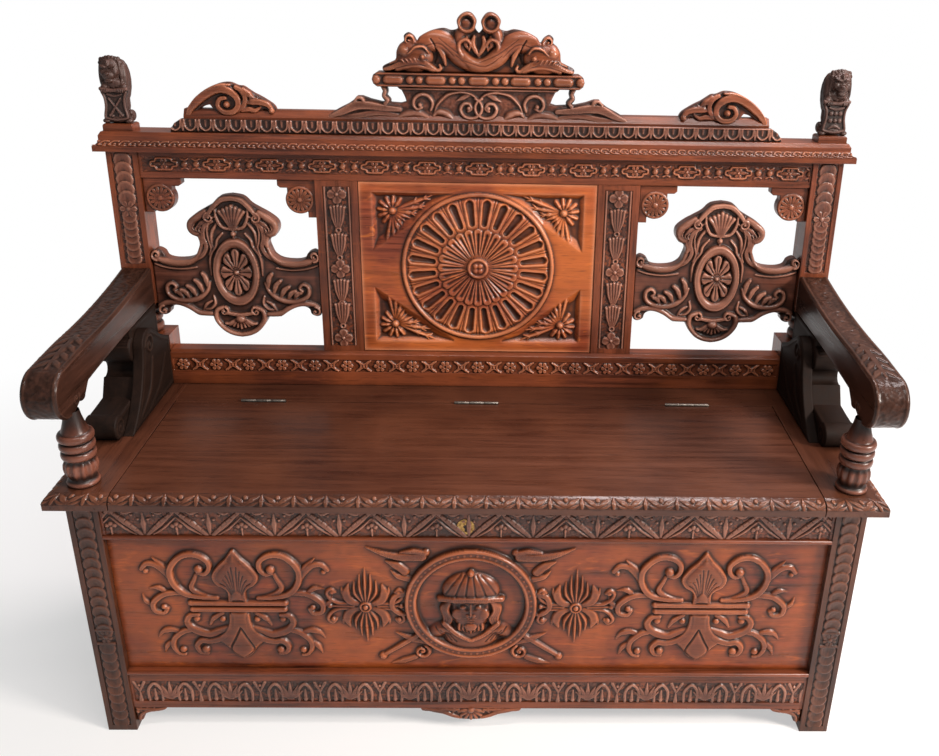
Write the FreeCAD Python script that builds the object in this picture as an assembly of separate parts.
import FreeCAD, Part
import math
import os
from FreeCAD import Vector

# Settle bench: a panelled box seat with a hinged lid, carved open back, scrolled arms.
# X runs across the bench, Y from front to back, Z up. The origin is on the floor, in the
# middle of the width and the depth. All sizes are in millimetres.
os.makedirs("parts", exist_ok=True)

# Chest
legs_width = 1240.0          # over the outer faces of the four legs
leg_side = 49.0
rail_thickness = 28.0
rail_setback = 3.0           # rail faces lie this far behind the leg faces
tenon_length = 22.0
tenon_thickness = 10.0
tenon_shoulder = 6.0         # wood above and below each tenon
joint_clearance = 0.15       # between a tenon or panel edge and its mortise or groove
panel_thickness = 12.0
groove_depth = 8.0
panel_from_face = 9.0        # panel face behind the rail face
front_top_rail_height = 68.0
front_bottom_rail_z = 48.0
front_bottom_rail_height = 80.0
side_top_rail_height = 60.0
side_bottom_rail_z = 60.0
side_bottom_rail_height = 68.0
rail_bead_height = 8.0       # bead along the panel edge of the front rails
carved_band_depth = 2.0
carved_band_margin = 14.0
medallion_lift = 5.5         # medallion above the middle of the front panel
medallion_share = 0.414      # its radius in open heights of the panel
medallion_ring = 20.0
medallion_height = 9.0
head_share = 0.407           # radius of the head in radii of the medallion
head_height = 24.0
bottom_board_thickness = 12.0
bottom_board_z = 88.0

# Seat
seat_height = 480.0
seat_thickness = 23.0
seat_overhang = 23.0         # beyond the leg faces, at the front and the sides
seat_slope_run = 18.0
seat_lip_height = 10.0
lid_inset = 27.5             # lid ends from the legs' inner faces
lid_gap = 1.5
hinge_line = 301.0           # hinge axis behind the legs' front face
batten_width = 45.0
batten_thickness = 18.0
batten_inset = 150.0         # lid end to the middle of a batten
batten_front = 70.0

# Hinges
hinge_length = 80.0
hinge_spacing = 386.0
knuckle_radius = 3.2
knuckle_count = 3
knuckle_gap = 0.25
hinge_pin_radius = 1.5
pin_clearance = 0.05
leaf_height = 19.0
leaf_thickness = 2.0
leaf_gap = 0.6
hinge_rise = 1.0             # pin centre above the seat top

# Lock
lock_offset = -8.0           # keyhole from the middle of the front rail
escutcheon_radius = 14.0
escutcheon_thickness = 1.2
keyhole_drop = 41.0          # keyhole below the underside of the seat
keyhole_radius = 3.5
lock_case_width = 64.0
lock_case_height = 44.0
lock_case_depth = 12.0
lock_wall = 1.6
bolt_length = 20.0
bolt_height = 8.0
bolt_depth = 5.0
staple_thickness = 3.0
staple_depth = 8.0
staple_bar = 3.0             # closed end of the staple, below its eye
bolt_clearance = 0.1
staple_clearance = 0.6
link_plate_width = 44.0
link_plate_depth = 18.0
link_plate_thickness = 2.0

# Back
back_setback = 377.0         # post faces behind the legs' front face, at seat height
back_lean_deg = 2.1
post_width = 54.0
post_depth = 54.0
post_overhang = 22.5         # post faces beyond the legs' outer faces
post_block_width = 71.5
post_block_height = 95.0
turning_height = 60.0
turning_radius = 27.0
turning_neck = 20.5
top_rail_rise = 387.0        # underside of the top rail above the seat
top_rail_height = 47.5
back_rail_thickness = 30.0
back_rail_setback = 3.0
seat_rail_height = 67.0
seat_rail_forward = 5.5
muntin_inner = 212.0
muntin_width = 75.0
muntin_thickness = 28.0
back_panel_setback = 5.0
back_panel_border = 23.0
back_panel_sunk = 7.0
rosette_lift = 4.0           # rosette above the middle of its panel
rosette_radius = 138.0
flute_inner = 73.0
flute_outer = 124.0
flute_count = 24
petal_count = 24
rosette_boss_radius = 19.0
splat_thickness = 24.0
splat_setback = 5.0
splat_tongue = 6.0
splat_drop = 29.0            # splat below the top rail
splat_height = 268.0
splat_oval_drop = 142.0      # middle of the oval below the top of the splat
splat_oval_share = 0.285     # half width of the oval in half widths of the splat
splat_oval_half_height = 63.0
spandrel_thickness = 20.0
spandrel_setback = 8.0
spandrel_lobe_radius = 25.0

# Cornice and crest
cornice_height = 32.5
cornice_overhang = 15.6
cornice_fillet_inset = 9.0
cornice_top_inset = 13.0
finial_block_side = 51.0
finial_block_height = 12.0
finial_inset = 24.0          # lions from the outer faces of the posts
crest_board_height = 38.0
crest_board_front = 14.0
crest_board_depth = 26.0
crest_chamfer = 11.0
crest_inset = 113.5          # ends of the crest from the outer faces of the posts
crest_strip_height = 23.0
crest_strip_thickness = 10.0
crest_scroll_thickness = 20.0
pediment_thickness = 24.0
pediment_rise = 81.5         # pediment moulding above the cornice
pediment_moulding_height = 24.0
pediment_moulding_half = 181.0
dolphin_thickness = 20.0
dolphin_height = 99.5

# Arms
arm_width = 52.0
arm_rise_at_post = 224.0     # above the seat
arm_overhang = 24.0          # front of the arm roll before the legs' front face
arm_roll_radius = 39.0
arm_roll_rise = 157.0        # middle of the roll above the seat
arm_knob_radius = 9.0
baluster_radius = 25.0
dowel_radius = 9.0
dowel_length = 15.0
console_cheek = 18.0
console_reach = 235.0        # foot roll before the post faces

# Places worked out from the sizes above
leg_outer = legs_width / 2
chest_depth = back_setback + post_depth   # legs' front face to the back of the seat
leg_inner = leg_outer - leg_side
seat_underside = seat_height - seat_thickness
lid_half_width = leg_inner - lid_inset
keyhole_z = seat_underside - keyhole_drop
top_rail_z = seat_height + top_rail_rise
seat_half_width = leg_outer + seat_overhang
lean = math.radians(back_lean_deg)
cornice_z = top_rail_z + top_rail_height
cornice_top = cornice_z + cornice_height
rear_reach = back_setback + post_depth * math.cos(lean) + (cornice_top - seat_height) * math.sin(lean)
front_y = (arm_overhang - rear_reach) / 2
back_y = front_y + back_setback
post_outer = leg_outer + post_overhang
post_inner = post_outer - post_width
post_centre = post_outer - post_width / 2
muntin_outer = muntin_inner + muntin_width
splat_centre = (post_inner + muntin_outer) / 2
splat_half = (post_inner - muntin_outer) / 2
splat_top = top_rail_z - splat_drop
splat_oval_z = splat_top - splat_oval_drop
splat_oval_half_width = splat_oval_share * splat_half
rosette_z = (top_rail_z + seat_height + seat_rail_height) / 2 + rosette_lift
finial_centre = post_outer - finial_inset
crest_half_width = post_outer - crest_inset
pediment_moulding_z = cornice_top + pediment_rise
dolphin_top = pediment_moulding_z + pediment_moulding_height + dolphin_height
arm_top_at_post = seat_height + arm_rise_at_post
arm_roll_z = seat_height + arm_roll_rise
hinge_y = front_y + hinge_line
hinge_z = seat_height + hinge_rise
hinge_centres = (-hinge_spacing, 0.0, hinge_spacing)


def deep(offset):
    # A depth measured back from the front face of the legs.
    return front_y + offset


def behind(offset):
    # A depth measured back from the front face of the upright back.
    return back_y + offset


def block(x0, x1, y0, y1, z0, z1):
    low = Vector(min(x0, x1), min(y0, y1), min(z0, z1))
    return Part.makeBox(abs(x1 - x0), abs(y1 - y0), abs(z1 - z0), low)


def face_from(start, steps, place):
    # A flat face whose outline runs from start through straight steps (u, v), arcs
    # ("arc", via, end). place turns (u, v) to space.
    edges = []
    here = start
    for step in steps:
        if step[0] == "arc":
            edges.append(Part.Arc(place(*here), place(*step[1]), place(*step[2])).toShape())
            here = step[2]
        else:
            edges.append(Part.LineSegment(place(*here), place(*step)).toShape())
            here = step
    if math.dist(here, start) > 1e-6:
        edges.append(Part.LineSegment(place(*here), place(*start)).toShape())
    return Part.Face(Part.Wire(edges))


def plate(start, steps, y0, y1):
    # An outline in X and Z, made solid between two depths.
    face = face_from(start, steps, lambda x, z: Vector(x, y0, z))
    return face.extrude(Vector(0, y1 - y0, 0))


def moulded(start, steps, x0, x1):
    # A profile in Y and Z, run along X.
    face = face_from(start, steps, lambda y, z: Vector(x0, y, z))
    return face.extrude(Vector(x1 - x0, 0, 0))


def flat_sided(profile, sides, place):
    # A carved form with flat sides round an axis: profile lists (radius, height) along it.
    rings = []
    for radius, height in profile:
        angles = [2 * math.pi * (index + 0.5) / sides for index in range(sides)]
        rings.append([place(radius * math.cos(a), radius * math.sin(a), height) for a in angles])
    faces = [Part.Face(Part.makePolygon(ring + ring[:1])) for ring in (rings[0], rings[-1])]
    for low, high in zip(rings, rings[1:]):
        for index in range(sides):
            after = (index + 1) % sides
            corners = [low[index], low[after], high[after], high[index], low[index]]
            faces.append(Part.Face(Part.makePolygon(corners)))
    solid = Part.Solid(Part.Shell(faces))
    if solid.Volume < 0:
        solid.reverse()
    return solid


def rod_y(x, z, y0, y1, radius):
    return Part.makeCylinder(radius, y1 - y0, Vector(x, y0, z), Vector(0, 1, 0))


def mirrored(shape):
    return shape.mirror(Vector(0, 0, 0), Vector(1, 0, 0))


def doubled(half, x=0.0):
    # A symmetrical piece from the half on the +X side of its middle.
    return half.fuse(half.mirror(Vector(x, 0, 0), Vector(1, 0, 0))).removeSplitter()


def grown(x0, x1, y0, y1, z0, z1, by):
    return block(x0 - by, x1 + by, y0 - by, y1 + by, z0 - by, z1 + by)


def leaned(shape):
    # The back is built upright and tipped back about the foot of its front face.
    return shape.rotate(Vector(0, back_y, seat_height), Vector(1, 0, 0), -back_lean_deg)


def standing(shape):
    # A leaning piece trimmed flat where it stands on the seat.
    reach = 2 * chest_depth
    below = block(-legs_width, legs_width, back_y - reach, back_y + reach, 0, seat_height)
    return leaned(shape).cut(below)


def pair(name, right_shape):
    nodes[name + "_right"] = right_shape
    nodes[name + "_left"] = mirrored(right_shape)


nodes = {}


# Legs, rails and panels of the chest

def front_rail_tenon(z, height, by=0.0):
    middle = deep(rail_setback + rail_thickness / 2)
    return grown(leg_inner, leg_inner + tenon_length, middle - tenon_thickness / 2,
                 middle + tenon_thickness / 2, z + tenon_shoulder, z + height - tenon_shoulder, by)


def rear_rail_tenon(z, height, by=0.0):
    middle = deep(chest_depth - rail_setback - rail_thickness / 2)
    return grown(leg_inner, leg_inner + tenon_length, middle - tenon_thickness / 2,
                 middle + tenon_thickness / 2, z + tenon_shoulder, z + height - tenon_shoulder, by)


def side_rail_tenons(z, height, by=0.0):
    # One tenon at each end of a side rail; they stop short of the front rail's tenons.
    middle = leg_outer - rail_setback - rail_thickness / 2
    short = leg_side - rail_setback - rail_thickness - 1.0
    low, high = z + tenon_shoulder, z + height - tenon_shoulder
    front = grown(middle - tenon_thickness / 2, middle + tenon_thickness / 2,
                  deep(leg_side - short), deep(leg_side), low, high, by)
    rear = grown(middle - tenon_thickness / 2, middle + tenon_thickness / 2,
                 deep(chest_depth - leg_side), deep(chest_depth - leg_side + short), low, high, by)
    return front, rear


front_top_rail_z = seat_underside - front_top_rail_height
side_top_rail_z = seat_underside - side_top_rail_height
front_panel_y = deep(rail_setback + panel_from_face)
front_panel_foot = front_bottom_rail_z + front_bottom_rail_height
medallion_z = (front_panel_foot + front_top_rail_z) / 2 + medallion_lift
medallion_radius = medallion_share * (front_top_rail_z - front_panel_foot)
head_radius = head_share * medallion_radius
rear_panel_y = deep(chest_depth - rail_setback - panel_from_face - panel_thickness)
side_panel_x = leg_outer - rail_setback - panel_from_face - panel_thickness


def front_panel_blank(by=0.0):
    reach = leg_inner + groove_depth
    return grown(-reach, reach, front_panel_y, front_panel_y + panel_thickness,
                 front_panel_foot - groove_depth, front_top_rail_z + groove_depth, by)


def rear_panel_blank(by=0.0):
    reach = leg_inner + groove_depth
    return grown(-reach, reach, rear_panel_y, rear_panel_y + panel_thickness,
                 side_bottom_rail_z + side_bottom_rail_height - groove_depth,
                 side_top_rail_z + groove_depth, by)


def side_panel_blank(by=0.0):
    return grown(side_panel_x, side_panel_x + panel_thickness,
                 deep(leg_side - groove_depth), deep(chest_depth - leg_side + groove_depth),
                 side_bottom_rail_z + side_bottom_rail_height - groove_depth,
                 side_top_rail_z + groove_depth, by)


def bottom_board_blank(by=0.0):
    # The board runs into grooves in the four bottom rails and is notched round the legs.
    rail_inner = rail_setback + rail_thickness
    reach = leg_outer - rail_inner + groove_depth
    board = grown(-reach, reach, deep(rail_inner - groove_depth),
                  deep(chest_depth - rail_inner + groove_depth),
                  bottom_board_z, bottom_board_z + bottom_board_thickness, by)
    notch = leg_side + 0.5 - by
    for side in (-1, 1):
        for y in (deep(0), deep(chest_depth - notch)):
            corner = block(side * (leg_outer - notch), side * leg_outer, y, y + notch,
                           bottom_board_z - 5, bottom_board_z + bottom_board_thickness + 5)
            board = board.cut(corner)
    return board


def carved_strip_recess(x_centre, width, z0, z1, face_y, depth=carved_band_depth):
    return block(x_centre - width / 2, x_centre + width / 2, face_y - 1, face_y + depth, z0, z1)


def front_leg():
    leg = block(leg_inner, leg_outer, deep(0), deep(leg_side), 0, seat_underside)
    leg = leg.cut(front_rail_tenon(front_top_rail_z, front_top_rail_height, joint_clearance))
    leg = leg.cut(front_rail_tenon(front_bottom_rail_z, front_bottom_rail_height, joint_clearance))
    leg = leg.cut(side_rail_tenons(side_top_rail_z, side_top_rail_height, joint_clearance)[0])
    leg = leg.cut(side_rail_tenons(side_bottom_rail_z, side_bottom_rail_height, joint_clearance)[0])
    leg = leg.cut(front_panel_blank(joint_clearance)).cut(side_panel_blank(joint_clearance))
    strip = carved_strip_recess(leg_outer - leg_side / 2, leg_side - 18, 12, seat_underside - 12, deep(0))
    return leg.cut(strip)


def rear_leg():
    y0, y1 = deep(chest_depth - leg_side), deep(chest_depth)
    leg = block(leg_inner, leg_outer, y0, y1, 0, seat_underside)
    leg = leg.cut(rear_rail_tenon(side_top_rail_z, side_top_rail_height, joint_clearance))
    leg = leg.cut(rear_rail_tenon(side_bottom_rail_z, side_bottom_rail_height, joint_clearance))
    leg = leg.cut(side_rail_tenons(side_top_rail_z, side_top_rail_height, joint_clearance)[1])
    leg = leg.cut(side_rail_tenons(side_bottom_rail_z, side_bottom_rail_height, joint_clearance)[1])
    return leg.cut(rear_panel_blank(joint_clearance)).cut(side_panel_blank(joint_clearance))


def front_rail(z, height, bead_at_top):
    # A rail with a sunk band for carving and a round bead beside the panel.
    face = deep(rail_setback)
    rail = block(-leg_inner, leg_inner, face, face + rail_thickness, z, z + height)
    bead_z = z + height - rail_bead_height / 2 if bead_at_top else z + rail_bead_height / 2
    bead = Part.makeCylinder(rail_bead_height / 2, 2 * leg_inner, Vector(-leg_inner, face, bead_z),
                             Vector(1, 0, 0))
    low = z + carved_band_margin
    high = z + height - carved_band_margin
    if bead_at_top:
        high -= rail_bead_height
    else:
        low -= carved_band_margin - rail_bead_height
    rail = rail.cut(block(-leg_inner + 4, leg_inner - 4, face - 1, face + carved_band_depth, low, high))
    rail = rail.fuse(bead).removeSplitter()
    tenon = front_rail_tenon(z, height)
    return rail.fuse(tenon).fuse(mirrored(tenon)).cut(front_panel_blank(joint_clearance))


def side_rail(z, height):
    x1 = leg_outer - rail_setback
    rail = block(x1 - rail_thickness, x1, deep(leg_side), deep(chest_depth - leg_side), z, z + height)
    for tenon in side_rail_tenons(z, height):
        rail = rail.fuse(tenon)
    return rail.cut(side_panel_blank(joint_clearance))


def rear_rail(z, height):
    y1 = deep(chest_depth - rail_setback)
    rail = block(-leg_inner, leg_inner, y1 - rail_thickness, y1, z, z + height)
    tenon = rear_rail_tenon(z, height)
    return rail.fuse(tenon).fuse(mirrored(tenon)).cut(rear_panel_blank(joint_clearance))


def front_panel():
    # The panel carries a raised medallion ring with a head standing out of its sunk field.
    face = front_panel_y
    ring = rod_y(0, medallion_z, face - medallion_height, face + 1, medallion_radius)
    hole = rod_y(0, medallion_z, face - medallion_height - 1, face + 2, medallion_radius - medallion_ring)
    head = flat_sided([(head_radius, -1), (head_radius * 0.9, head_height * 0.55),
                       (head_radius * 0.55, head_height)], 16,
                      lambda u, v, out: Vector(u, face - out, medallion_z + v))
    return front_panel_blank().fuse(ring.cut(hole)).fuse(head)


def apron_pendant():
    # A carved drop under the middle of the bottom rail.
    top = front_bottom_rail_z
    half = plate((0, top), [(88, top), ("arc", (78, top - 9), (60, top - 10)),
                            ("arc", (36, top - 23), (0, top - 27))],
                 deep(rail_setback + 2), deep(rail_setback + 20))
    return doubled(half)


def leg_bracket():
    # A small shaped bracket in the corner of a leg and the bottom rail.
    top = front_bottom_rail_z
    return plate((leg_inner, top), [(leg_inner - 56, top), ("arc", (leg_inner - 44, top - 10),
                                    (leg_inner - 28, top - 12)), ("arc", (leg_inner - 14, top - 18),
                                    (leg_inner - 10, top - 31)), (leg_inner, top - 31)],
                 deep(rail_setback + 2), deep(rail_setback + 20))


pair("front_leg", front_leg())
pair("rear_leg", rear_leg())
pair("side_top_rail", side_rail(side_top_rail_z, side_top_rail_height))
bottom_groove = bottom_board_blank(joint_clearance)
pair("side_bottom_rail", side_rail(side_bottom_rail_z, side_bottom_rail_height).cut(bottom_groove))
pair("side_panel", side_panel_blank())
nodes["front_panel"] = front_panel()
nodes["rear_panel"] = rear_panel_blank()
nodes["rear_top_rail"] = rear_rail(side_top_rail_z, side_top_rail_height)
nodes["rear_bottom_rail"] = rear_rail(side_bottom_rail_z, side_bottom_rail_height).cut(bottom_groove)
nodes["bottom_board"] = bottom_board_blank()
front_bottom_rail = front_rail(front_bottom_rail_z, front_bottom_rail_height, True)
nodes["front_bottom_rail"] = front_bottom_rail.cut(bottom_groove)
front_top_rail = front_rail(front_top_rail_z, front_top_rail_height, False)
nodes["apron_pendant"] = apron_pendant()
nodes["leg_brackets"] = Part.makeCompound([leg_bracket(), mirrored(leg_bracket())])


# Seat boards, lid and battens

def seat_edge_steps(edge, inward):
    # The moulded edge: a square lip, then a swelling slope up to the flat top. edge is the
    # outermost place and inward is +1 or -1 towards the middle of the board.
    lip = seat_underside + seat_lip_height
    top = edge + inward * seat_slope_run
    swell = (edge + inward * (seat_slope_run * 0.35), lip + (seat_height - lip) * 0.62)
    return (edge, seat_underside), [(edge, lip), ("arc", swell, (top, seat_height))]


def front_moulded_board(x0, x1, rear_y):
    start, steps = seat_edge_steps(deep(-seat_overhang), 1)
    return moulded(start, steps + [(rear_y, seat_height), (rear_y, seat_underside)], x0, x1)


def side_moulded_board(y0, y1, inner_x):
    start, steps = seat_edge_steps(seat_half_width, -1)
    face = face_from(start, steps + [(inner_x, seat_height), (inner_x, seat_underside)],
                     lambda x, z: Vector(x, y0, z))
    return face.extrude(Vector(0, y1 - y0, 0))


end_board_inner = lid_half_width + lid_gap
baluster_y = deep(leg_side / 2)
baluster_x = leg_outer - leg_side / 2


def post_tenon_box(by=0.0):
    # The stub that holds each back post down through the seat board.
    return grown(post_inner + 6, leg_outer - 8, behind(12), behind(32),
                 seat_underside + 1, seat_height + 6, by)


def seat_end():
    rear = deep(chest_depth)
    board = front_moulded_board(end_board_inner, seat_half_width + 1, rear)
    board = board.common(side_moulded_board(deep(-seat_overhang) - 1, rear, end_board_inner))
    dowel_hole = Part.makeCylinder(dowel_radius + joint_clearance, dowel_length + 1,
                                   Vector(baluster_x, baluster_y, seat_height - dowel_length))
    return board.cut(dowel_hole).cut(post_tenon_box(joint_clearance))


def lid():
    return front_moulded_board(-lid_half_width, lid_half_width, hinge_y - lid_gap / 2)


def lid_battens():
    # Two cross battens under the lid, with stopped chamfered ends.
    rear = hinge_y - 28
    bottom = seat_underside - batten_thickness
    solids = []
    for side in (-1, 1):
        x = side * (lid_half_width - batten_inset)
        y0 = deep(batten_front)
        solids.append(moulded((y0, seat_underside), [(y0, bottom + 10), (y0 + 10, bottom),
                      (rear - 10, bottom), (rear, bottom + 10), (rear, seat_underside)],
                      x - batten_width / 2, x + batten_width / 2))
    return solids


def seat_back_strip():
    return block(-end_board_inner, end_board_inner, hinge_y + lid_gap / 2, deep(chest_depth),
                 seat_underside, seat_height)


# Butt hinges let into the edges of the lid and the fixed strip

leaf_top = hinge_z - knuckle_radius - 0.6


def leaf(x, side):
    # side is +1 for the fixed strip and -1 for the lid.
    y0 = hinge_y + side * leaf_gap / 2
    y1 = y0 + side * leaf_thickness
    shape = block(x - hinge_length / 2, x + hinge_length / 2, y0, y1, leaf_top - leaf_height, leaf_top)
    step = hinge_length / knuckle_count
    for index in range(knuckle_count):
        if (index % 2 == 0) != (side > 0):
            continue
        x0 = x - hinge_length / 2 + index * step + knuckle_gap / 2
        x1 = x0 + step - knuckle_gap
        knuckle = Part.makeCylinder(knuckle_radius, x1 - x0, Vector(x0, hinge_y, hinge_z), Vector(1, 0, 0))
        shape = shape.fuse(knuckle).fuse(block(x0, x1, y0, y1, leaf_top, hinge_z))
    bore = Part.makeCylinder(hinge_pin_radius + pin_clearance, hinge_length + 2,
                             Vector(x - hinge_length / 2 - 1, hinge_y, hinge_z), Vector(1, 0, 0))
    return shape.cut(bore)


def hinge_recess(x, side):
    # The gain for a leaf and the hollow for the knuckles, in the edge of the board.
    gap = joint_clearance
    y1 = hinge_y + side * (leaf_gap / 2 + leaf_thickness)
    recess = block(x - hinge_length / 2 - gap, x + hinge_length / 2 + gap, hinge_y, y1,
                   leaf_top - leaf_height - gap, seat_height + 1)
    barrel = Part.makeCylinder(knuckle_radius + 0.5, hinge_length + 2 * gap,
                               Vector(x - hinge_length / 2 - gap, hinge_y, hinge_z), Vector(1, 0, 0))
    return recess.fuse(barrel)


def hinge_pin(x):
    return Part.makeCylinder(hinge_pin_radius, hinge_length - knuckle_gap,
                             Vector(x - (hinge_length - knuckle_gap) / 2, hinge_y, hinge_z), Vector(1, 0, 0))


lid_board = lid()
back_strip = seat_back_strip()
for centre in hinge_centres:
    lid_board = lid_board.cut(hinge_recess(centre, -1))
    back_strip = back_strip.cut(hinge_recess(centre, 1))
nodes["hinge_seat_leaves"] = Part.makeCompound([leaf(x, 1) for x in hinge_centres])
nodes["hinge_lid_leaves"] = Part.makeCompound([leaf(x, -1) for x in hinge_centres])
nodes["hinge_pins"] = Part.makeCompound([hinge_pin(x) for x in hinge_centres])
nodes["lid_battens"] = Part.makeCompound(lid_battens())
pair("seat_end", seat_end())
nodes["seat_back_strip"] = back_strip


# Chest lock in the front rail, its staple on the lid

lock_case_y1 = deep(rail_setback + rail_thickness)
lock_case_y0 = lock_case_y1 - lock_case_depth
lock_case_z0 = seat_underside - lock_case_height
staple_y = lock_case_y0 + lock_case_depth / 2
bolt_z = seat_underside - 16.0
staple_x = lock_offset + 12.0


def lock_case_box(by=0.0):
    return block(lock_offset - lock_case_width / 2 - by, lock_offset + lock_case_width / 2 + by,
                 lock_case_y0 - by, lock_case_y1 + 1 if by else lock_case_y1,
                 lock_case_z0 - by, seat_underside + 1 if by else seat_underside)


def lock_case():
    # A box case: a channel guides the bolt and the staple enters a pocket from above.
    case = lock_case_box()
    low = bolt_z - bolt_height / 2
    reach = lock_case_width / 2 - lock_wall
    channel = block(lock_offset - reach, lock_offset + reach,
                    staple_y - bolt_depth / 2 - bolt_clearance, staple_y + bolt_depth / 2 + bolt_clearance,
                    low - bolt_clearance, low + bolt_height + bolt_clearance)
    pocket = block(staple_x - staple_clearance, staple_x + staple_thickness + staple_clearance,
                   staple_y - staple_depth / 2 - 2 * staple_clearance,
                   staple_y + staple_depth / 2 + staple_clearance,
                   low - staple_bar - 2 * staple_clearance, seat_underside + 1)
    key_pit = rod_y(lock_offset, keyhole_z, lock_case_y0 - 1, lock_case_y1 - lock_wall, keyhole_radius)
    return case.cut(channel).cut(pocket).cut(key_pit)


def lock_bolt():
    # Drawn back at rest; it shoots to the right through the staple.
    x1 = staple_x - 2 * staple_clearance
    return block(x1 - bolt_length, x1, staple_y - bolt_depth / 2, staple_y + bolt_depth / 2,
                 bolt_z - bolt_height / 2, bolt_z + bolt_height / 2)


def lock_link_plate():
    # The plate is let into the lid; its staple hangs down into the lock.
    link = block(lock_offset - link_plate_width / 2, lock_offset + link_plate_width / 2,
                 staple_y - link_plate_depth / 2, staple_y + link_plate_depth / 2,
                 seat_underside, seat_underside + link_plate_thickness)
    low = bolt_z - bolt_height / 2 - staple_clearance
    staple = block(staple_x, staple_x + staple_thickness, staple_y - staple_depth / 2,
                   staple_y + staple_depth / 2, low - staple_bar, seat_underside)
    eye = block(staple_x - 1, staple_x + staple_thickness + 1, staple_y - bolt_depth / 2 - 0.5,
                staple_y + bolt_depth / 2 + 0.5, low, bolt_z + bolt_height / 2 + staple_clearance)
    return link.fuse(staple.cut(eye))


def keyhole_cut(y0, y1, by=0.0):
    slot = block(lock_offset - 1.6 - by, lock_offset + 1.6 + by, y0, y1, keyhole_z - 9 - by, keyhole_z)
    return rod_y(lock_offset, keyhole_z, y0, y1, keyhole_radius + by).fuse(slot)


def escutcheon():
    # A brass disc let into the sunk carving of the rail.
    face = deep(rail_setback) + carved_band_depth
    disc = rod_y(lock_offset, keyhole_z, face - escutcheon_thickness, face, escutcheon_radius)
    return disc.cut(keyhole_cut(face - 5, face + 5))


front_top_rail = front_top_rail.cut(lock_case_box(joint_clearance))
front_top_rail = front_top_rail.cut(keyhole_cut(deep(0), lock_case_y0, 0.4))
nodes["front_top_rail"] = front_top_rail
nodes["lock_case"] = lock_case()
nodes["lock_bolt"] = lock_bolt()
nodes["lock_link_plate"] = lock_link_plate()
nodes["escutcheon"] = escutcheon()
nodes["lid"] = lid_board.cut(grown(lock_offset - link_plate_width / 2, lock_offset + link_plate_width / 2,
                                   staple_y - link_plate_depth / 2, staple_y + link_plate_depth / 2,
                                   seat_underside - 1, seat_underside + link_plate_thickness, pin_clearance))


# Back frame, built upright on the line of the post faces

def back_tenon(inner_x, z, height, setback, thickness, by=0.0):
    middle = behind(setback + thickness / 2)
    return grown(inner_x, inner_x + tenon_length, middle - tenon_thickness / 2,
                 middle + tenon_thickness / 2, z + tenon_shoulder, z + height - tenon_shoulder, by)


post_block_top = seat_height + post_block_height
turning_top = post_block_top + turning_height
post_block_inner = post_outer - post_block_width


def ring_steps(low, pitch, neck, radius, count=3):
    # The outline of a row of swelling rings: (radius, height) from the lowest hollow up.
    steps = []
    for index in range(count):
        z = low + index * pitch
        steps += [(neck, z), (radius, z + pitch * 0.35), (radius, z + pitch * 0.65)]
    return steps + [(neck, low + count * pitch)]


def turned_rings():
    # Three rings with hollows between them, from the square block to the post.
    profile = ring_steps(post_block_top - 0.5, (turning_height + 1) / 3, turning_neck, turning_radius)
    y = behind(post_depth / 2)
    return flat_sided(profile, 16, lambda u, v, h: Vector(post_centre + u, y + v, h))


def splat_side_groove(by=0.0):
    middle = behind(splat_setback + splat_thickness / 2)
    return grown(post_inner, post_inner + splat_tongue, middle - 5, middle + 5,
                 splat_top - 0.75 * splat_height, splat_top - 0.45 * splat_height, by)


def back_post():
    post = block(post_inner, post_outer, behind(0), behind(post_depth), turning_top, cornice_z)
    foot = block(post_block_inner, post_outer, behind(0), behind(post_depth),
                 seat_height - 6, post_block_top)
    post = post.fuse(turned_rings()).fuse(foot)
    post = post.cut(back_tenon(post_inner, top_rail_z, top_rail_height, back_rail_setback,
                               back_rail_thickness, joint_clearance))
    post = post.cut(back_tenon(post_block_inner, seat_height, seat_rail_height, 0,
                               back_rail_thickness, joint_clearance))
    post = post.cut(splat_side_groove(joint_clearance))
    strip = carved_strip_recess(post_centre, post_width - 18, arm_top_at_post + 8, cornice_z - 4, behind(0))
    post = standing(post.cut(strip))
    above_seat = block(0, legs_width, deep(0), deep(chest_depth), seat_height, seat_height + 50)
    return post.fuse(post_tenon_box().cut(above_seat))


def back_top_rail():
    face = behind(back_rail_setback)
    rail = block(-post_inner, post_inner, face, face + back_rail_thickness, top_rail_z, cornice_z)
    rail = rail.cut(block(-post_inner + 4, post_inner - 4, face - 1, face + carved_band_depth,
                          top_rail_z + 11, cornice_z - 10))
    tenon = back_tenon(post_inner, top_rail_z, top_rail_height, back_rail_setback, back_rail_thickness)
    rail = rail.fuse(tenon).fuse(mirrored(tenon))
    for tenon in muntin_tenons(joint_clearance):
        rail = rail.cut(tenon).cut(mirrored(tenon))
    return leaned(rail.cut(back_panel_blank(joint_clearance)))


def back_seat_rail():
    # The rail that stands on the seat, chamfered along its top.
    face = behind(-seat_rail_forward)
    rear = face + seat_rail_forward + back_rail_thickness
    top = seat_height + seat_rail_height
    rail = moulded((face, seat_height - 4), [(face, top - 5), (face + 7, top), (rear, top),
                                            (rear, seat_height - 4)], -post_block_inner, post_block_inner)
    rail = rail.cut(block(-post_block_inner + 4, post_block_inner - 4, face - 1,
                          face + carved_band_depth, seat_height + 27, seat_height + 51))
    tenon = back_tenon(post_block_inner, seat_height, seat_rail_height, 0, back_rail_thickness)
    rail = rail.fuse(tenon).fuse(mirrored(tenon))
    for tenon in muntin_tenons(joint_clearance):
        rail = rail.cut(tenon).cut(mirrored(tenon))
    return standing(rail.cut(back_panel_blank(joint_clearance)))


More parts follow.
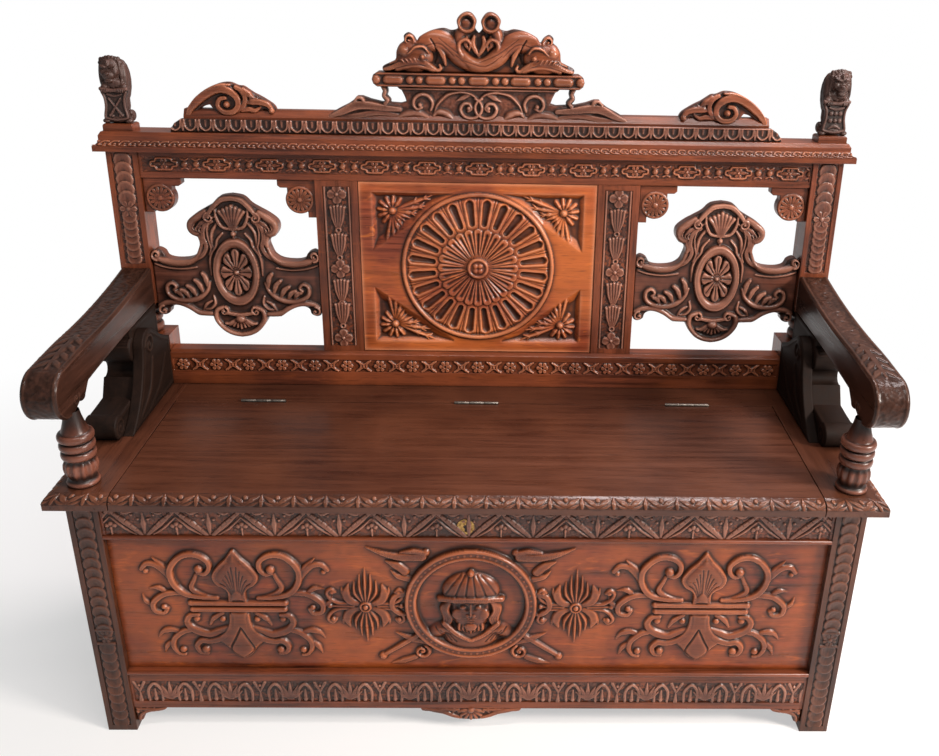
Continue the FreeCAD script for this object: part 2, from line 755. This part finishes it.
def muntin_tenons(by=0.0):
    # Stub tenons at the head and foot of the right-hand muntin.
    middle = behind(back_rail_setback + muntin_thickness / 2)
    x0, x1 = muntin_inner + 20, muntin_outer - 12
    foot_z = seat_height + seat_rail_height
    foot = grown(x0, x1, middle - 5, middle + 5, foot_z - 14, foot_z, by)
    head = grown(x0, x1, middle - 5, middle + 5, top_rail_z, top_rail_z + 14, by)
    return foot, head


def muntin():
    foot_z = seat_height + seat_rail_height
    face = behind(back_rail_setback)
    post = block(muntin_inner, muntin_outer, face, face + muntin_thickness, foot_z, top_rail_z)
    post = post.cut(carved_strip_recess(muntin_inner + muntin_width / 2, muntin_width - 26,
                                        foot_z + 10, top_rail_z - 10, face))
    for tenon in muntin_tenons():
        post = post.fuse(tenon)
    groove = splat_side_groove(joint_clearance).mirror(Vector(splat_centre, 0, 0), Vector(1, 0, 0))
    return leaned(post.cut(groove).cut(back_panel_blank(joint_clearance)))


def back_panel_blank(by=0.0):
    # The tongue of the centre panel, held in grooves all round.
    face = behind(back_panel_setback + back_panel_sunk)
    foot_z = seat_height + seat_rail_height
    return grown(-muntin_inner - groove_depth, muntin_inner + groove_depth, face, face + panel_thickness,
                 foot_z - groove_depth, top_rail_z + groove_depth, by)


def back_panel():
    # A bordered square with a big fluted rosette standing out of its sunk field.
    foot_z = seat_height + seat_rail_height
    face = behind(back_panel_setback)
    field = face + back_panel_sunk
    border = block(-muntin_inner, muntin_inner, face, field + 2, foot_z, top_rail_z)
    inner = muntin_inner - back_panel_border
    half_height = (top_rail_z - foot_z) / 2 - back_panel_border + 4
    middle_z = (top_rail_z + foot_z) / 2
    opening = block(-inner, inner, face - 1, field + 3, middle_z - half_height, middle_z + half_height)
    panel = back_panel_blank().fuse(border.cut(opening))
    return leaned(panel.fuse(rosette(field)).removeSplitter())


def rosette(field):
    # A ring of flutes round a ring of petals and a boss, cut by polar patterns.
    petals = flute_inner - 4
    disc = rod_y(0, rosette_z, field - 7, field + 1, rosette_radius)
    disc = disc.fuse(rod_y(0, rosette_z, field - 10, field, petals))
    disc = disc.fuse(rod_y(0, rosette_z, field - 14, field, rosette_boss_radius))
    flute_half = math.pi * flute_outer / flute_count * 0.72
    notch_half = math.pi * petals / petal_count * 0.5
    cutters = []
    for index in range(flute_count):
        cutters.append(radial_groove(flute_inner + 3, flute_outer, flute_half, field - 7.5, 5, index))
    for index in range(petal_count):
        cutters.append(radial_groove(petals * 0.42, petals + 1.5, notch_half, field - 10.5, 4, index + 0.5))
    return disc.cut(Part.makeCompound(cutters))


def radial_groove(r0, r1, half_width, y0, depth, turn):
    # A V groove that widens and deepens outwards, turned to its place in the pattern.
    apex = Vector(r0, y0, rosette_z)
    end = [Vector(r1, y0, rosette_z - half_width), Vector(r1, y0, rosette_z + half_width),
           Vector(r1, y0 + depth, rosette_z)]
    faces = [Part.Face(Part.makePolygon(end + end[:1]))]
    for index in range(3):
        faces.append(Part.Face(Part.makePolygon([apex, end[index], end[(index + 1) % 3], apex])))
    groove = Part.Solid(Part.Shell(faces))
    if groove.Volume < 0:
        groove.reverse()
    return groove.rotate(Vector(0, y0, rosette_z), Vector(0, 1, 0), 360.0 * turn / flute_count)


def splat_outline():
    # Half of the scrolled splat, from the crown round the ear and side scrolls to the shell.
    # Each place is given in half widths across and whole heights down from the crown.
    def at(across, down):
        return splat_half * across, splat_top - splat_height * down

    return at(0, 0), [("arc", at(0.133, 0.015), at(0.226, 0.063)),
                      at(0.524, 0.183),
                      ("arc", at(0.537, 0.243), at(0.438, 0.291)),
                      ("arc", at(0.425, 0.369), at(0.57, 0.433)),
                      at(0.84, 0.418),
                      ("arc", at(0.92, 0.373), at(1, 0.418)),
                      at(1, 0.802),
                      ("arc", at(0.927, 0.843), at(0.854, 0.802)),
                      ("arc", at(0.69, 0.776), at(0.491, 0.851)),
                      at(0.332, 0.854),
                      at(0.199, 0.963), at(0, 1)]


def oval_steps(x, z, half_width, half_height):
    # A four-centred oval, clockwise from its top.
    shoulder_x, shoulder_z = half_width * 0.72, half_height * 0.72
    return [("arc", (x + half_width * 0.4, z + half_height * 0.93), (x + shoulder_x, z + shoulder_z)),
            ("arc", (x + half_width, z), (x + shoulder_x, z - shoulder_z)),
            ("arc", (x, z - half_height), (x - shoulder_x, z - shoulder_z)),
            ("arc", (x - half_width, z), (x - shoulder_x, z + shoulder_z)),
            ("arc", (x - half_width * 0.4, z + half_height * 0.93), (x, z + half_height))]


def splat():
    start, steps = splat_outline()
    face = behind(splat_setback)
    shift = lambda x, z: Vector(splat_centre + x, face, z)
    half = face_from(start, steps, shift).extrude(Vector(0, splat_thickness, 0))
    body = doubled(half, splat_centre)
    boss = plate((splat_centre, splat_oval_z + splat_oval_half_height),
                 oval_steps(splat_centre, splat_oval_z, splat_oval_half_width, splat_oval_half_height),
                 face - 4, face + 2)
    tongue = splat_side_groove()
    far_tongue = tongue.mirror(Vector(splat_centre, 0, 0), Vector(1, 0, 0))
    return leaned(body.fuse(boss).fuse(tongue).fuse(far_tongue))


def spandrel(edge_x, inward, reach, stub):
    # A corner bracket under the top rail with a round lobe for a flower.
    top = top_rail_z
    face = behind(spandrel_setback)
    lobe_x = edge_x + inward * (spandrel_lobe_radius + 3.5)
    bar = block(edge_x, edge_x + inward * reach, face, face + spandrel_thickness, top - 13, top)
    lobe = rod_y(lobe_x, top - 36, face, face + spandrel_thickness, spandrel_lobe_radius)
    neck = block(edge_x, edge_x + inward * (2 * spandrel_lobe_radius), face, face + spandrel_thickness,
                 top - 36, top)
    shape = bar.fuse(lobe).fuse(neck)
    shape = shape.fuse(block(edge_x, edge_x + inward * 15, face, face + spandrel_thickness, top - stub, top))
    return leaned(shape.removeSplitter())


pair("back_post", back_post())
nodes["back_top_rail"] = back_top_rail()
nodes["back_bottom_rail"] = back_seat_rail()
pair("muntin", muntin())
nodes["back_panel"] = back_panel()
pair("splat", splat())
pair("spandrel_outer", spandrel(post_inner, -1, 67, 62))
pair("spandrel_inner", spandrel(muntin_outer, 1, 67, 68))


# Cornice and crest

def cornice():
    # One board, its moulding run along the front and returned round both ends.
    half = post_outer + cornice_overhang
    rear = behind(post_depth)
    z = cornice_z
    front = behind(-cornice_overhang)
    fillet = front + cornice_fillet_inset
    top = front + cornice_top_inset
    along = moulded((front, z), [(front, z + 10), ("arc", (front + 6.5, z + 13), (fillet, z + 19)),
                                 (fillet, z + 26), (top, cornice_top), (rear, cornice_top), (rear, z)],
                    -half - 1, half + 1)
    fillet_x = half - cornice_fillet_inset
    top_x = half - cornice_top_inset
    ends = face_from((0, z), [(half, z), (half, z + 10), ("arc", (half - 6.5, z + 13), (fillet_x, z + 19)),
                              (fillet_x, z + 26), (top_x, cornice_top), (0, cornice_top)],
                     lambda x, zz: Vector(x, front - 1, zz)).extrude(Vector(0, rear - front + 1, 0))
    return leaned(along.common(doubled(ends)))


def lion_finial():
    # A seated lion on a square block, a shield held before it, its head turned outward.
    x = finial_centre
    y = behind(post_depth / 2 - 4)
    side = finial_block_side / 2
    z = cornice_top + finial_block_height
    shape = block(x - side, x + side, y - 19, y + 17, cornice_top, z)
    silhouette = [(18, z), (23, z + 20), (19, z + 62), (24, z + 84), (21, z + 102), (10, z + 116)]
    body = flat_sided(silhouette, 10, lambda u, v, h: Vector(x + u, y + 0.72 * v, h))
    muzzle = flat_sided([(13, 0), (8, 14)], 8,
                        lambda u, v, out: Vector(x + 5 + u, y - 10 - out, z + 86 + v))
    shield = plate((x - 17, z + 8), [("arc", (x, z + 2), (x + 17, z + 8)), (x + 19, z + 58),
                                     (x - 19, z + 58)], y - 18.5, y - 10)
    return leaned(shape.fuse(body).fuse(muzzle).fuse(shield))


def crest_board_upright():
    # The plain board above the cornice, its front top edge sloped back.
    z = cornice_top
    front = behind(crest_board_front)
    rear = front + crest_board_depth
    top = z + crest_board_height
    slope_foot = top - crest_chamfer - 1
    return moulded((front, z), [(front, slope_foot), (front + 8, top), (rear, top), (rear, z)],
                   -crest_half_width + 22, crest_half_width - 22)


def crest_strip():
    # A planted strip with rounded ends, for a row of carved lobes.
    z = cornice_top
    top = z + crest_strip_height
    y1 = behind(crest_board_front)
    half = plate((0, z), [(crest_half_width, z), ("arc", (crest_half_width - 6, z + 15),
                                                 (crest_half_width - 20, top)), (0, top)],
                 y1 - crest_strip_thickness, y1)
    return leaned(doubled(half))


def crest_scroll():
    # A pierced leaf scroll, scribed over the sloping front of the crest board. Its outline is
    # given inwards from the end of the crest.
    z = cornice_top + crest_strip_height
    y0 = behind(crest_board_front)
    end = crest_half_width
    body = plate((end - 25, z), [("arc", (end - 49, z + 39), (end - 99, z + 60)),
                                 ("arc", (end - 112, z + 58), (end - 124, z + 51)),
                                 ("arc", (end - 149, z + 40), (end - 175, z + 23)),
                                 ("arc", (end - 180, z + 15), (end - 173, z + 7)),
                                 ("arc", (end - 163, z + 11), (end - 153, z + 10)),
                                 (end - 145, z)], y0, y0 + crest_scroll_thickness)
    window = plate((end - 43, z + 7), [("arc", (end - 52, z + 17), (end - 66, z + 22)),
                                       (end - 77, z + 8)], y0 - 1, y0 + crest_scroll_thickness + 1)
    return leaned(body.cut(window).cut(crest_board_upright()))


def pediment_body():
    # A coved block between two reclining horns, each propped by a small scroll.
    z = cornice_top + crest_strip_height
    top = pediment_moulding_z
    y0 = behind(crest_board_front)
    y1 = y0 + pediment_thickness
    half = plate((0, z), [(205, z), (262, z + 4), ("arc", (228, z + 32), (207, z + 41)),
                          ("arc", (180, z + 29), (138, z + 27)),
                          ("arc", (127, z + 40), (141, top)), (0, top)], y0, y1)
    prop = plate((158, z + 24), [("arc", (151, z + 44), (158, top)), (166, top),
                                 ("arc", (161, z + 44), (167, z + 24))], y0 + 4, y1 - 4)
    return leaned(doubled(half.fuse(prop)).cut(crest_board_upright()))


def pediment_moulding():
    z = pediment_moulding_z
    top = z + pediment_moulding_height
    y0 = behind(crest_board_front) - 6
    y1 = y0 + pediment_thickness + 12
    half = pediment_moulding_half
    end = pediment_moulding_height / 2 - 3
    front = moulded((y0 + 5, z), [(y0, z + 6), (y0, top - 6), (y0 + 5, top), (y1, top), (y1, z)], -half, half)
    ends = plate((-half + end, z), [("arc", (-half, (z + top) / 2), (-half + end, top)), (half - end, top),
                                    ("arc", (half, (z + top) / 2), (half - end, z))], y0 - 1, y1 + 1)
    return leaned(front.common(ends))


def dolphin_crest():
    # Two dolphins head outward; their tails cross in the middle and end in open trumpets.
    z = pediment_moulding_z + pediment_moulding_height
    top = dolphin_top
    y0 = behind(crest_board_front)
    y1 = y0 + dolphin_thickness
    half = plate((0, z), [(158, z), ("arc", (142, z + 30), (124, z + 55)),
                          ("arc", (112, z + 59), (108, z + 50)),
                          ("arc", (80, z + 68), (40, z + 66)), (40, z + 74),
                          ("arc", (38, top - 6), (20, top)), ("arc", (4, top - 8), (5, z + 70)),
                          ("arc", (3, z + 45), (0, z + 38))], y0, y1)
    head = flat_sided([(24, -1), (20, 11), (9, 17)], 10,
                      lambda u, v, out: Vector(110 + u, y0 - out, z + 27 + v))
    trumpet = flat_sided([(9, -6), (15, 8)], 10,
                         lambda u, v, out: Vector(20 + u, y0 - out, top - 24 + v + 0.4 * out))
    return leaned(doubled(half.fuse(head).fuse(trumpet)))


nodes["cornice"] = cornice()
pair("lion_finial", lion_finial())
nodes["crest_board"] = leaned(crest_board_upright())
nodes["crest_strip"] = crest_strip()
pair("crest_scroll", crest_scroll())
nodes["pediment_body"] = pediment_body()
nodes["pediment_moulding"] = pediment_moulding()
nodes["dolphin_crest"] = dolphin_crest()


# Arms, balusters and consoles

def arm_profile():
    # Side view: a sagging top line, a big roll in front and a small knob behind the roll.
    roll_y = deep(arm_roll_radius - arm_overhang)
    radius = arm_roll_radius
    low = arm_roll_z - radius
    corner = radius * math.sqrt(0.5)
    rear = behind(20)
    top = arm_top_at_post
    knob_y = roll_y + 43
    knob_z = arm_roll_z - 24
    return (rear, top), [
        ("arc", (rear - 147, top - 17.5), (rear - 287, top - 23)), (roll_y, arm_roll_z + radius),
        ("arc", (roll_y - corner, arm_roll_z + corner), (roll_y - radius, arm_roll_z)),
        ("arc", (roll_y - corner, arm_roll_z - corner), (roll_y, low)),
        ("arc", (roll_y + 20, low + 5.5), (knob_y - arm_knob_radius, knob_z)),
        ("arc", (knob_y, knob_z - arm_knob_radius), (knob_y + arm_knob_radius, knob_z)),
        (knob_y + 24, arm_roll_z - 12.5), ("arc", (rear - 167, arm_roll_z - 3), (rear, arm_roll_z + 1))]


def leaning_back_space():
    return leaned(block(-legs_width, legs_width, behind(0), behind(chest_depth), 0, 2 * seat_height))


def arm():
    start, steps = arm_profile()
    shape = moulded(start, steps, post_centre - arm_width / 2, post_centre + arm_width / 2)
    return shape.cut(leaning_back_space())


def baluster():
    # Turned and fluted; its neck is scribed to the roll and its dowel enters the seat board.
    z = seat_height
    r = baluster_radius
    foot = Vector(baluster_x, baluster_y, z - dowel_length)
    shape = Part.makeCylinder(dowel_radius, dowel_length + 3, foot)
    fluted = [(r - 1, z), (r - 1, z + 7), (r - 6, z + 9), (r - 2, z + 20), (r - 2, z + 34)]
    fluted += ring_steps(z + 45, 15, r - 5, r)
    fluted += [(r - 13, z + 108), (r - 15, z + 130)]
    shape = shape.fuse(flat_sided(fluted, 12, lambda u, v, h: Vector(baluster_x + u, baluster_y + v, h)))
    start, steps = arm_profile()
    above = moulded(start, steps, baluster_x - 2 * r, baluster_x + 2 * r)
    top = block(baluster_x - 2 * r, baluster_x + 2 * r, baluster_y - 2 * r, baluster_y + 2 * r,
                arm_roll_z - 20, arm_roll_z + 60)
    return shape.cut(above).cut(top)


def console():
    # A stepped bracket behind the arm: foot roll, cove, reeded block, cove and upper roll.
    z = seat_height
    y = behind(-console_reach)
    rear = behind(20)
    outer = post_centre + arm_width / 2
    inner = post_centre - arm_width / 2
    body = moulded((y + 14, z), [("arc", (y, z + 18), (y + 30, z + 38)),
                   ("arc", (y + 63, z + 40), (y + 86, z + 42)), (y + 103, z + 73),
                   ("arc", (y + 122, z + 82), (y + 114, z + 97)),
                   ("arc", (y + 101, z + 118), (y + 120, z + 138)),
                   (y + 120, z + 175), (rear, z + 175), (rear, z)], inner, outer)
    for index in range(2):
        reed_y = y + 91 + index * 8
        reed = block(inner + 9, outer - 5, reed_y - 3, reed_y + 3, z + 50 + index * 12, z + 56 + index * 12)
        body = body.fuse(reed)
    cheek = moulded((y + 24, z), [("arc", (y + 90, z + 62), (y + 114, z + 118)),
                    ("arc", (y + 130, z + 142), (y + 158, z + 143)), (y + 203, z + 112), (rear, z + 94),
                    (rear, z)], inner - console_cheek, inner)
    shape = body.fuse(cheek).cut(leaning_back_space())
    start, steps = arm_profile()
    above = moulded(start, steps, inner - 2 * console_cheek, outer + 1)
    higher = block(inner - 2 * console_cheek, outer + 1, deep(0), behind(post_depth), z + 160, 2 * z)
    return shape.cut(above).cut(higher)


pair("arm", arm())
pair("baluster", baluster())
pair("console", console())

for name, shape in nodes.items():
    shape.exportStep("parts/" + name + ".step")
box = Part.makeCompound(list(nodes.values())).BoundBox
print("nodes", len(nodes))
print("X %.1f %.1f  Y %.1f %.1f  Z %.1f %.1f" % (box.XMin, box.XMax, box.YMin, box.YMax, box.ZMin, box.ZMax))
